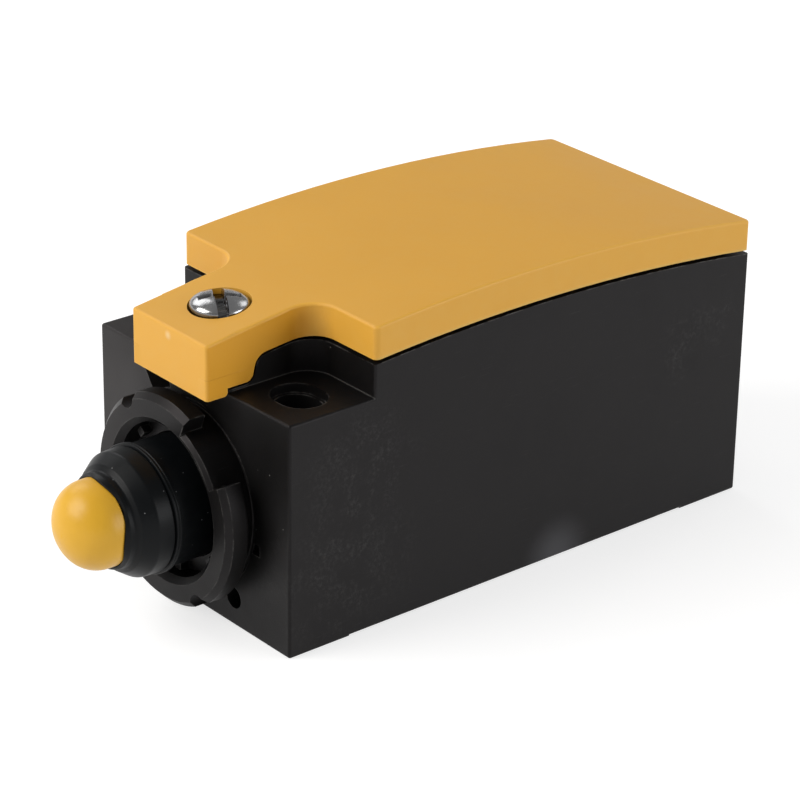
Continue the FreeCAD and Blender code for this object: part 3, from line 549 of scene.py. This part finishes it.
    def bump(self, layers):
        """Stack of (height, depth in metres) layers, one on another."""
        normal = None
        for height, depth in layers:
            node = self.add("ShaderNodeBump")
            node.inputs["Strength"].default_value = 1.0
            node.inputs["Distance"].default_value = depth
            self.feed(node.inputs["Height"], height)
            if normal is not None:
                self.feed(node.inputs["Normal"], normal)
            normal = node.outputs[0]
        self.feed(self.surface.inputs["Normal"], normal)


# Marks on the right side: smudges, and a painted highlight standing in for a soft reflection; place from the
# front face, height and radius in millimetres
RIGHT_SIDE_SMUDGES = [(7.0, 8.0, 12.0), (8.5, 17.5, 10.0),
                      (52.4, 22.0, 4.0), (51.8, 18.0, 4.0), (57.0, 21.0, 4.0)]
RIGHT_SIDE_PAINTED_HIGHLIGHT = (35.0, 0.3, 5.2)
# Foot of the stepped corners and the fixing slots in them; the painted highlight along it fades upwards, near
# the outer faces and round the slots
STEP_Z = 25.15 * MM
FOOT_HEIGHT = (0.40 * MM, 0.15 * MM)
FOOT_INSET = (0.4 * MM, 0.7 * MM)
SLOT_X = 10.5 * MM
SLOT_REACH = 4.6 * MM
SLOT_FADE = 0.15
# Dull part of the front face, at its upper right corner: its centre, its radius, and its specular level and
# the rest's
FRONT_DULL = (15.5 * MM, FRONT_Y, 22.0 * MM)
FRONT_DULL_R = 12.0 * MM
DULL_SHINE = 0.10
HOUSING_SHINE = 0.185
# Painted sheen on the left of the front face, a lighter patch standing in for reflected light: its centre and
# radius
FRONT_PAINTED_SHEEN = (-14.0 * MM, FRONT_Y, 19.0 * MM)
FRONT_PAINTED_SHEEN_R = 15 * MM


def on_right_side(y, z):
    """Place on the right side, from millimetres behind the front face and above the floor."""
    return HALF_WIDTH, FRONT_Y + y * MM, z * MM


def smudges(finish):
    """Speckled handling marks on the right side."""
    speckle = finish.ramp(finish.noise(0.5 * MM, 6.0, 0.75, shift=(0.3, 0.1, 0.2)), 0.42, 0.75)
    blotch = finish.ramp(finish.noise(2.8 * MM, 4.0, 0.6, shift=(0.1, 0.4, 0)), 0.38, 0.62)
    marks = 0.0
    for y, z, radius in RIGHT_SIDE_SMUDGES:
        marks = finish.math("MAXIMUM", marks, finish.patch(on_right_side(y, z), radius * MM))
    return finish.times(marks, speckle, blotch)


def painted_foot_highlight(finish, corners):
    """Painted highlight along the corners where the stepped floors meet what stands on them."""
    beside = finish.math("ABSOLUTE", finish.along(0))
    height = finish.math("ABSOLUTE", finish.math("SUBTRACT", finish.along(2), STEP_Z))
    slots = 0.0
    for x in (-SLOT_X, SLOT_X):
        slots = finish.math("MAXIMUM", slots, finish.patch((x, 0.0, STEP_Z), SLOT_REACH))
    start, full = FOOT_INSET
    return finish.times(corners, finish.ramp(slots, SLOT_FADE, 0.0), finish.ramp(height, *FOOT_HEIGHT),
                        finish.ramp(beside, HALF_WIDTH - start, HALF_WIDTH - full),
                        finish.ramp(finish.along(1), FRONT_Y + start, FRONT_Y + full))


def housing_black():
    """Black moulding with a fine grain, dust, smudges, corner wear, a painted sheen and painted highlights.
    """
    finish = Finish("housing_black", Specular_Tint=(1.0, 0.94, 0.96, 1.0))
    grain = finish.noise(0.16 * MM, 2.0)
    cloud = finish.noise(9 * MM, 5.0, 0.6)
    painted_highlight = finish.patch(on_right_side(*RIGHT_SIDE_PAINTED_HIGHLIGHT[:2]), RIGHT_SIDE_PAINTED_HIGHLIGHT[2] * MM)
    dust = finish.specks(0.08 * MM, 2.0 * MM, 0.40)
    scratch = finish.scratches(0.06 * MM, 3 * MM, 0.30)
    corners = finish.edges(0.24 * MM)
    wear_and_painted_highlight = finish.times(corners, finish.ramp(finish.noise(2.2 * MM, 4.0, 0.7), 0.40, 0.64))
    wear_and_painted_highlight = finish.math("MAXIMUM", wear_and_painted_highlight, painted_foot_highlight(finish, corners))
    dull = finish.times(finish.facing(1), finish.patch(FRONT_DULL, FRONT_DULL_R))
    base = finish.mix(cloud, (0.0030, 0.0028, 0.0028), (0.0050, 0.0048, 0.0048))
    # Painted sheen: the left of the front face lightened
    base = finish.mix(finish.patch(FRONT_PAINTED_SHEEN, FRONT_PAINTED_SHEEN_R), base, (0.034, 0.032, 0.032))
    base = finish.mix(finish.times(smudges(finish), 0.34), base, (0.10, 0.098, 0.095))
    # Painted highlight: a soft light spot on the right side
    base = finish.mix(finish.times(painted_highlight, 0.36), base, (0.16, 0.16, 0.17))
    # Corner wear, together with the painted highlight along the foot of the steps
    base = finish.mix(finish.times(wear_and_painted_highlight, 0.75), base, (0.120, 0.117, 0.112))
    base = finish.mix(finish.times(scratch, 0.25), base, (0.05, 0.05, 0.05))
    finish.color(finish.mix(finish.times(dust, 0.55), base, (0.36, 0.35, 0.34)))
    finish.rough(finish.ramp(cloud, 0.3, 0.75, 0.40, 0.52))
    level = finish.ramp(dull, 0.0, 1.0, HOUSING_SHINE, DULL_SHINE)
    finish.feed(finish.surface.inputs["Specular IOR Level"], level)
    finish.bump([(grain, 0.008 * MM)])
    return finish.material


# On the tongue: a mould line round the lip, below which it stands out a little, and a gate mark in front
LIP_LINE_Z = 27.15 * MM
LIP_LINE = 0.06 * MM
LIP_LINE_SIDES = (4.56 * MM, 5.928 * MM)
LIP_LINE_RUN = (FRONT_Y + 2.5 * MM, FRONT_Y - 0.5 * MM)
GATE_MARK = Vector((-0.1 * MM, TONGUE_Y, 29.9 * MM))
GATE_MARK_R = 0.65 * MM
# Where the tongue ends and the cover's full width begins
TONGUE_END = FRONT_Y + 8.5 * MM
SHOULDER_Y = FRONT_Y + 10.0 * MM


def below_mould_line(finish):
    """1 on the sides of the tongue's lip, under the mould line."""
    on_lip = finish.ramp(finish.along(1), *LIP_LINE_RUN)
    at_sides = finish.ramp(finish.math("ABSOLUTE", finish.along(0)), *LIP_LINE_SIDES)
    return finish.times(on_lip, at_sides, finish.ramp(finish.along(2), LIP_LINE_Z + LIP_LINE, LIP_LINE_Z))


def cover_yellow():
    """Satin yellow moulding, paler along its edges; painted shade deepens the tongue's sides, painted light
    lifts edges.
    """
    finish = Finish("cover_yellow", Specular_IOR_Level=0.35)
    cloud = finish.noise(14 * MM, 4.0, 0.55)
    grain = finish.noise(0.22 * MM, 2.0)
    mottle = finish.noise(1.6 * MM, 4.0, 0.6)
    dust = finish.specks(0.06 * MM, 3.0 * MM, 0.25)
    rim = finish.times(finish.edges(0.25 * MM), finish.ramp(finish.noise(3 * MM, 4.0), 0.3, 0.7))
    on_tongue = finish.ramp(finish.along(1), SHOULDER_Y, TONGUE_END)
    tongue_side_painted_shade = finish.times(on_tongue, finish.facing(0))
    behind_tongue = finish.ramp(finish.along(1), TONGUE_END, SHOULDER_Y)
    lower_edge_wear_and_bounce = finish.times(finish.lower_edges(0.55 * MM), behind_tongue, finish.facing(0))
    gate = finish.patch(GATE_MARK, GATE_MARK_R)
    base = finish.mix(cloud, (0.690, 0.345, 0.038), (0.745, 0.392, 0.055))
    base = finish.mix(finish.ramp(mottle, 0.35, 0.8, 0.0, 0.35), base, (0.71, 0.39, 0.068))
    # Painted shade: the tongue's sides deeper and darker
    base = finish.mix(finish.times(tongue_side_painted_shade, 0.85), base, (0.705, 0.325, 0.016))
    base = finish.mix(finish.times(rim, 0.30), base, (0.86, 0.56, 0.17))
    # Painted light: the rounding between the top and the sides lightened
    base = finish.mix(finish.times(finish.painted_light_long_edges(), 0.62), base, (0.83, 0.45, 0.065))
    # Lower edges of the sides paler: partly wear, partly painted bounce light
    base = finish.mix(finish.times(lower_edge_wear_and_bounce, 0.90), base, (0.66, 0.425, 0.10))
    base = finish.mix(finish.times(gate, 0.55), base, (0.86, 0.66, 0.36))
    finish.color(finish.mix(finish.times(dust, 0.35), base, (0.30, 0.16, 0.04)))
    finish.rough(finish.ramp(cloud, 0.3, 0.7, 0.42, 0.52))
    lip = below_mould_line(finish)
    finish.bump([(lip, 0.07 * MM), (gate, 0.04 * MM), (mottle, 0.012 * MM), (grain, 0.006 * MM)])
    return finish.material


def cap_yellow():
    """Yellow moulding, smoother than the cover and a little rubbed."""
    finish = Finish("cap_yellow", Specular_IOR_Level=0.36)
    cloud = finish.noise(3.5 * MM, 4.0, 0.6)
    grain = finish.noise(0.3 * MM, 3.0)
    rub = finish.ramp(finish.noise(1.2 * MM, 5.0, 0.7, shift=(0.2, 0, 0.1)), 0.55, 0.75)
    base = finish.mix(cloud, (0.69, 0.368, 0.020), (0.74, 0.415, 0.034))
    finish.color(finish.mix(finish.times(rub, 0.25), base, (0.60, 0.29, 0.012)))
    finish.rough(finish.ramp(cloud, 0.3, 0.7, 0.30, 0.42))
    finish.bump([(rub, 0.006 * MM), (grain, 0.008 * MM)])
    return finish.material


def rubber(name, dark, light, low, high):
    """Dusty rubber between two colours and two roughnesses."""
    finish = Finish(name, Specular_IOR_Level=0.13)
    cloud = finish.noise(4 * MM, 4.0, 0.6)
    grain = finish.noise(0.25 * MM, 3.0)
    dust = finish.specks(0.075 * MM, 1.0 * MM, 0.4)
    base = finish.mix(cloud, dark, light)
    finish.color(finish.mix(finish.times(dust, 0.55), base, (0.36, 0.37, 0.38)))
    finish.rough(finish.ramp(cloud, 0.3, 0.7, low, high))
    finish.bump([(cloud, 0.02 * MM), (grain, 0.003 * MM)])
    return finish.material


# Name of the mark that sets where painted shade darkens the recesses of a metal piece
RECESS = "recess"


def metal(name, dark, light, low, high, scratch=0.12 * MM):
    """Bare or plated metal, darkened by painted shade where a piece is marked as recessed."""
    finish = Finish(name, Metallic=1.0)
    cloud = finish.noise(1.8 * MM, 4.0, 0.6)
    brushing = finish.noise(scratch, 3.0, 0.6, stretch=(1, 0.12, 1))
    recess = finish.add("ShaderNodeAttribute", attribute_name=RECESS).outputs["Fac"]
    painted_recess_shade = finish.times(recess, finish.ramp(brushing, 0.40, 0.60, 0.68, 1.0))
    # Painted shade: recesses darkened, broken by streaks
    finish.color(finish.mix(painted_recess_shade, finish.mix(cloud, dark, light), (0.018, 0.017, 0.016)))
    finish.rough(finish.ramp(cloud, 0.3, 0.7, low, high))
    finish.bump([(cloud, 0.03 * MM), (brushing, 0.006 * MM)])
    return finish.material


def moulded(name, dark, light, low, high):
    """Moulded plastic between two colours and two roughnesses."""
    finish = Finish(name, Specular_IOR_Level=0.4)
    cloud = finish.noise(6 * MM, 4.0, 0.6)
    grain = finish.noise(0.2 * MM, 2.0)
    finish.color(finish.mix(cloud, dark, light))
    finish.rough(finish.ramp(cloud, 0.3, 0.7, low, high))
    finish.bump([(grain, 0.010 * MM)])
    return finish.material


FINISHES = {
    "housing_black": housing_black(),
    "cover_yellow": cover_yellow(),
    "cap_yellow": cap_yellow(),
    "boot_rubber": rubber("boot_rubber", (0.0026, 0.0032, 0.0038), (0.0044, 0.0053, 0.0062), 0.35, 0.45),
    "seal_rubber": rubber("seal_rubber", (0.010, 0.010, 0.010), (0.018, 0.018, 0.018), 0.5, 0.65),
    "plated_steel": metal("plated_steel", (0.30, 0.30, 0.31), (0.46, 0.46, 0.46), 0.14, 0.26),
    "ground_steel": metal("ground_steel", (0.55, 0.55, 0.56), (0.66, 0.66, 0.67), 0.22, 0.34),
    "spring_steel": metal("spring_steel", (0.36, 0.36, 0.37), (0.50, 0.50, 0.51), 0.24, 0.36),
    "brass": metal("brass", (0.66, 0.44, 0.15), (0.78, 0.55, 0.22), 0.22, 0.36),
    "silver": metal("silver", (0.74, 0.73, 0.70), (0.86, 0.85, 0.82), 0.24, 0.38),
    "white_acetal": moulded("white_acetal", (0.70, 0.69, 0.65), (0.78, 0.77, 0.73), 0.34, 0.46),
    "block_cream": moulded("block_cream", (0.52, 0.46, 0.33), (0.60, 0.54, 0.40), 0.46, 0.60),
}


def dress_solids():
    """Every carried-over solid takes the finish of its slot."""
    for entry in frame["record"]["subparts"]:
        solid = frame["nodes"][entry["node"]]
        solid.data.materials.clear()
        solid.data.materials.append(FINISHES[entry["material_slot"]])


dress_solids()


def add_piece(mesh, slot, body, node):
    """A mesh with its finish, on its body, in place of a solid."""
    mesh.materials.clear()
    mesh.materials.append(FINISHES[slot])
    piece = add_object(mesh)
    if body is not None:
        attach(piece, body)
    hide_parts(node)
    return piece


# Housing with its M20 x 1.5 cable entry cut as a real thread, by a tap that stands out a little at the rear
ENTRY_Z = 14.0 * MM
ENTRY_CORE_R = 9.17
ENTRY_CREST_R = 10.0
ENTRY_PITCH = 1.5
ENTRY_DEPTH = 8.3
ENTRY_SEGMENTS = 120
TAP_OUT = 1.0


def add_housing():
    """The housing's own shape with the thread cut into its entry."""
    shell = bmesh.new()
    shell.from_mesh(frame["nodes"]["housing"].data)
    bmesh.ops.remove_doubles(shell, verts=shell.verts, dist=WELD)
    mesh = bpy.data.meshes.new("threaded_housing")
    mesh.from_pydata([v.co for v in shell.verts], [], [[v.index for v in f.verts] for f in shell.faces])
    shell.free()
    tap = threaded_rod("entry_tap", ENTRY_CORE_R, ENTRY_CREST_R, ENTRY_PITCH, -ENTRY_DEPTH, TAP_OUT,
                       ENTRY_SEGMENTS)
    place = Matrix.Translation((0, REAR_Y, ENTRY_Z)) @ Matrix.Rotation(-math.pi / 2, 4, "X")
    tap.transform(place @ Matrix.Scale(MM, 4))
    cut = flat_shaded(tidy_mesh(carved(mesh, [tap]), weld=FINE_WELD))
    cut.name = "threaded_housing"
    add_piece(cut, "housing_black", "housing", "housing")


add_housing()

# Rubber boot down to the flange in its seat, as (place along the axis from the front face, radius, rounding)
BOOT_OUTSIDE = [
    (-10.9, 3.2, 0), (-10.9, 4.57, 0), (-11.32, 4.57, 0.03), (-11.32, 4.74, 0.12), (-11.0, 4.95, 0.25),
    (-10.40, 4.95, 0.35), (-10.05, 5.50, 0.4), (-8.70, 6.42, 0.6),
    (-6.98, 6.50, 0.08), (-6.92, 6.30, 0.04), (-6.82, 6.30, 0.04), (-6.76, 6.70, 0.10), (-6.54, 6.70, 0.05),
    (-6.46, 6.60, 0.03), (-6.38, 6.70, 0.05), (-6.14, 6.70, 0.12), (-6.04, 6.40, 0.06), (-0.35, 6.40, 0),
    (-0.35, 6.85, 0.10), (1.1, 6.85, 0)]
BOOT_INSIDE = [(1.1, 5.6, 0), (-8.1, 5.6, 1.0), (-9.3, 4.15, 0.3), (-9.3, 3.2, 0)]
BOOT_SEGMENTS = 128
# Its rim on the cap is wavy: where the wave begins, its full run, height, mean and first crest
RIM_WAVES = 4
RIM_START = FRONT_Y - 10.95 * MM
RIM_RUN = 0.35 * MM
RIM_WAVE = 0.25 * MM
RIM_MEAN = 0.06 * MM
RIM_CREST = math.radians(82)


def wave_rim(mesh):
    """Moves the boot's rim on the cap to and fro along the axis."""
    for point in mesh.vertices:
        share = min(1, max(0, (RIM_START - point.co.y) / RIM_RUN))
        angle = math.atan2(point.co.z - AXIS_Z, point.co.x)
        point.co.y -= share * (RIM_MEAN + RIM_WAVE * math.cos(RIM_WAVES * (angle - RIM_CREST)))


def add_boot():
    """Rubber boot about the plunger's axis, its rim waved on the cap, carried with the housing."""
    outline = [(r, y) for y, r in rounded_outline(BOOT_OUTSIDE) + rounded_outline(BOOT_INSIDE)]
    mesh = joined("rubber_boot", [(lathe("boot_skin", outline, BOOT_SEGMENTS), ON_PLUNGER_AXIS)])
    wave_rim(mesh)
    boot = add_piece(mesh, "boot_rubber", "housing", "boot")
    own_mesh(boot)


add_boot()


# Springs: wire radius and turns; the rest comes from the solid that each one stands for
SPRINGS = {"return_spring": (0.35, 7.0), "no_contact_spring": (0.22, 6.5), "nc_contact_spring": (0.22, 6.0)}


def add_spring(node, body):
    """Coil in place of a spring's solid."""
    wire_r, turns = SPRINGS[node]
    low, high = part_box(node)
    mean_r = (high.x - low.x) / 2 / MM - wire_r
    wire = coil(node + "_wire", mean_r, wire_r, turns, (low.y - FRONT_Y) / MM, (high.y - FRONT_Y) / MM)
    mesh = joined(node + "_coil", [(wire, ON_PLUNGER_AXIS)])
    return add_piece(mesh, "spring_steel", body, node)


def add_springs():
    """Return spring carried with the housing, the NO contact spring with the plunger, the NC contact spring
    fixed in place.
    """
    spring = add_spring("return_spring", "housing")
    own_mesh(spring)
    spring = add_spring("no_contact_spring", "plunger")
    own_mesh(spring)
    spring = add_spring("nc_contact_spring", None)
    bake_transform(spring)


add_springs()

# Screws with a full slot and a cross: head radius and height, core and crest radius, pitch, slot width
COVER_SCREW = (3.0, 2.2, 1.2, 1.45, 0.5, 1.2)
TERMINAL_SCREW = (2.8, 2.1, 1.45, 1.75, 0.6, 0.9)
BLOCK_SCREW = (1.9, 1.5, 0.85, 1.05, 0.45, 0.6)
COVER_SCREW_TURN = math.radians(61)
SCREW_TURNS = [math.radians(turn) for turn in (25, 118, 74, 160)]
# Heads: upright share of the height, segments, steps of the dome, chamfer, broken edges and lap on the shank
HEAD_SIDE = 0.48
HEAD_SEGMENTS = 96
DOME_STEPS = 16
HEAD_CHAMFER = 0.1
HEAD_EDGE = 0.04
SHANK_OVERLAP = 0.05
# Slot, cross and the well between them: floors as shares of the height, arms at top and floor as shares of
# the radius, and what is left of the width at the floor; the cutters run on above the head and beyond it
SLOT_FLOOR = 0.40
CROSS_FLOOR = 0.36
WELL_FLOOR = 0.34
CROSS_ARMS = (0.80, 0.60)
WELL_ARMS = (0.72, 0.36)
SLOT_TAPER = 0.9
ARM_TAPER = 0.8
CUT_ABOVE = 0.5
CUT_BEYOND = 1.0
# The painted recess shade is marked from the dome down to a share of the height, and near the rim as at a
# share of the radius
RECESS_FULL = 0.2
RECESS_EDGE = 0.97
PLACE_DIGITS = 6


def screw(name, sizes, length):
    """Domed screw standing on Z, the underside of its head at height 0."""
    radius, height, core_r, crest_r, pitch, slot = sizes
    side = height * HEAD_SIDE
    outline = [(0, 0), (radius - HEAD_CHAMFER, 0), (radius, HEAD_CHAMFER)]
    for step in range(DOME_STEPS + 1):
        lean = math.pi / 2 * (1 - step / DOME_STEPS)
        outline.append((radius * math.sin(lean), side + (height - side) * math.cos(lean)))
    head = lathe(name + "_head", outline, HEAD_SEGMENTS)
    half = slot / 2
    far = radius + CUT_BEYOND
    top = height + CUT_ABOVE
    cross_top, cross_low = (share * radius for share in CROSS_ARMS)
    well_top, well_low = (share * radius for share in WELL_ARMS)
    cutters = [
        wedge("slot", (half, far), (SLOT_TAPER * half, far), top, SLOT_FLOOR * height),
        wedge("cross", (cross_top, half), (cross_low, ARM_TAPER * half), top, CROSS_FLOOR * height),
        wedge("well", (half, well_top), (ARM_TAPER * half, well_low), top, WELL_FLOOR * height),
    ]
    head = carved(head, cutters, edge=HEAD_EDGE)
    mark_recess(head, radius, side, height)
    shank = threaded_rod(name + "_shank", core_r, crest_r, pitch, -length, SHANK_OVERLAP)
    return [head, shank]


def mark_recess(mesh, radius, side, height):
    """Gives each point how far it lies under the dome, from 0 on the dome to 1 at RECESS_FULL."""
    deep = mesh.attributes.new(RECESS, "FLOAT", "POINT")
    for point, mark in zip(mesh.vertices, deep.data):
        reach = min(point.co.xy.length / radius, RECESS_EDGE)
        under = side + (height - side) * math.sqrt(1 - reach ** 2) - point.co.z
        mark.value = min(1, max(0, under / (RECESS_FULL * height)))


def add_screws(node, sizes, slot, body, turns):
    """One screw for each turn, at the corners of the solids' box."""
    low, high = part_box(node)
    radius, height = sizes[0] * MM, sizes[1] * MM
    seat = high.z - height
    pieces = screw(node, sizes, (seat - low.z) / MM)
    xs = sorted({round(low.x + radius, PLACE_DIGITS), round(high.x - radius, PLACE_DIGITS)})
    ys = sorted({round(low.y + radius, PLACE_DIGITS), round(high.y - radius, PLACE_DIGITS)})
    places = [(x, y) for x in xs for y in ys]
    placed = []
    for (x, y), turn in zip(places, turns):
        matrix = Matrix.Translation((x, y, seat)) @ Matrix.Rotation(turn, 4, "Z")
        placed += [(mesh, matrix) for mesh in pieces]
    add_piece(joined(node + "_set", placed), slot, body, node)


add_screws("cover_screw", COVER_SCREW, "plated_steel", "cover", [COVER_SCREW_TURN])
add_screws("terminal_screws", TERMINAL_SCREW, "plated_steel", "housing", SCREW_TURNS)
add_screws("block_screws", BLOCK_SCREW, "plated_steel", "housing", SCREW_TURNS[::-1])
